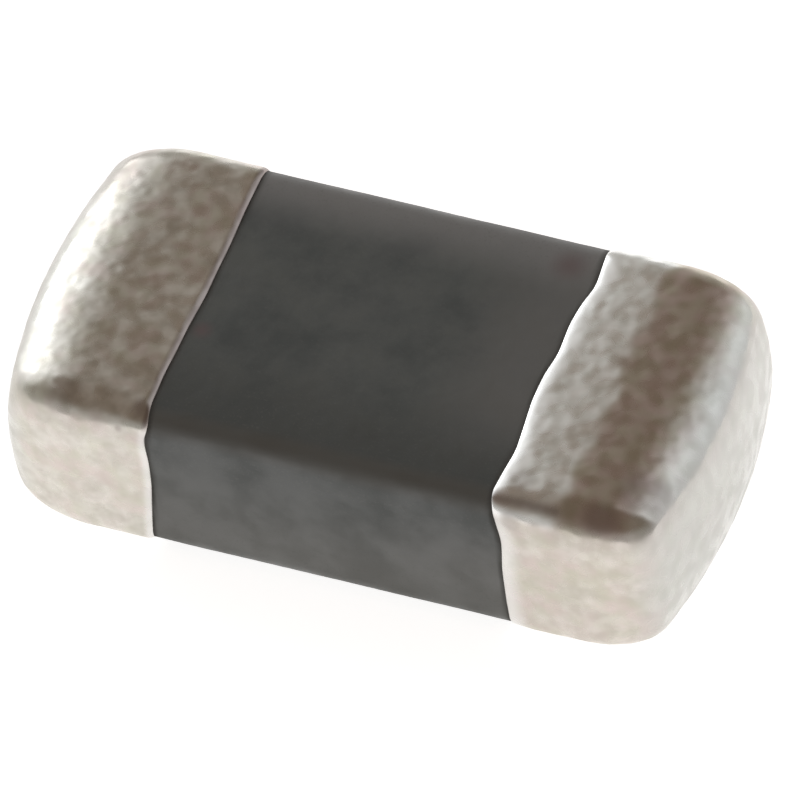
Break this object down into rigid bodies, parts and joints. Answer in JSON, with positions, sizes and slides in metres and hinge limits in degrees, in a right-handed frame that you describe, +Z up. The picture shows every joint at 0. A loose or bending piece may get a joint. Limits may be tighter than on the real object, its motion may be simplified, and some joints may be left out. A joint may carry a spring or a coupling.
{
  "type": "smd ferrite bead",
  "caption": "Surface-mount ferrite bead: a dark ferrite block with a buried silver winding and a rounded, tin-plated metal cap on each end.",
  "frame": {"origin": "centre of the footprint, in the plane of the board (bottom centre of the bounding box)", "axes": "+X along the chip's length, towards the cap with the leaning lip; +Y across the chip; +Z up, away from the board"},
  "size_m": [0.0032, 0.0016, 0.0009],
  "materials": {
    "ferrite": "matte, fine-grained sintered ferrite, dark grey",
    "tin": "matte electroplated tin with a coarse mottled grain",
    "nickel": "satin nickel plating",
    "silver": "matte fired silver"
  },
  "bodies": {
    "root": {"ferrite_body": "ferrite", "left_lead_out": "silver", "right_lead_out": "silver", "coil_layer_1": "silver", "coil_layer_2": "silver", "coil_layer_3": "silver", "coil_layer_4": "silver", "coil_layer_5": "silver", "coil_via_1": "silver", "coil_via_2": "silver", "coil_via_3": "silver", "coil_via_4": "silver", "coil_via_5": "silver", "coil_via_6": "silver", "left_silver_base": "silver", "left_nickel_barrier": "nickel", "left_tin_plating": "tin", "right_silver_base": "silver", "right_nickel_barrier": "nickel", "right_tin_plating": "tin"}
  },
  "joints": []
}
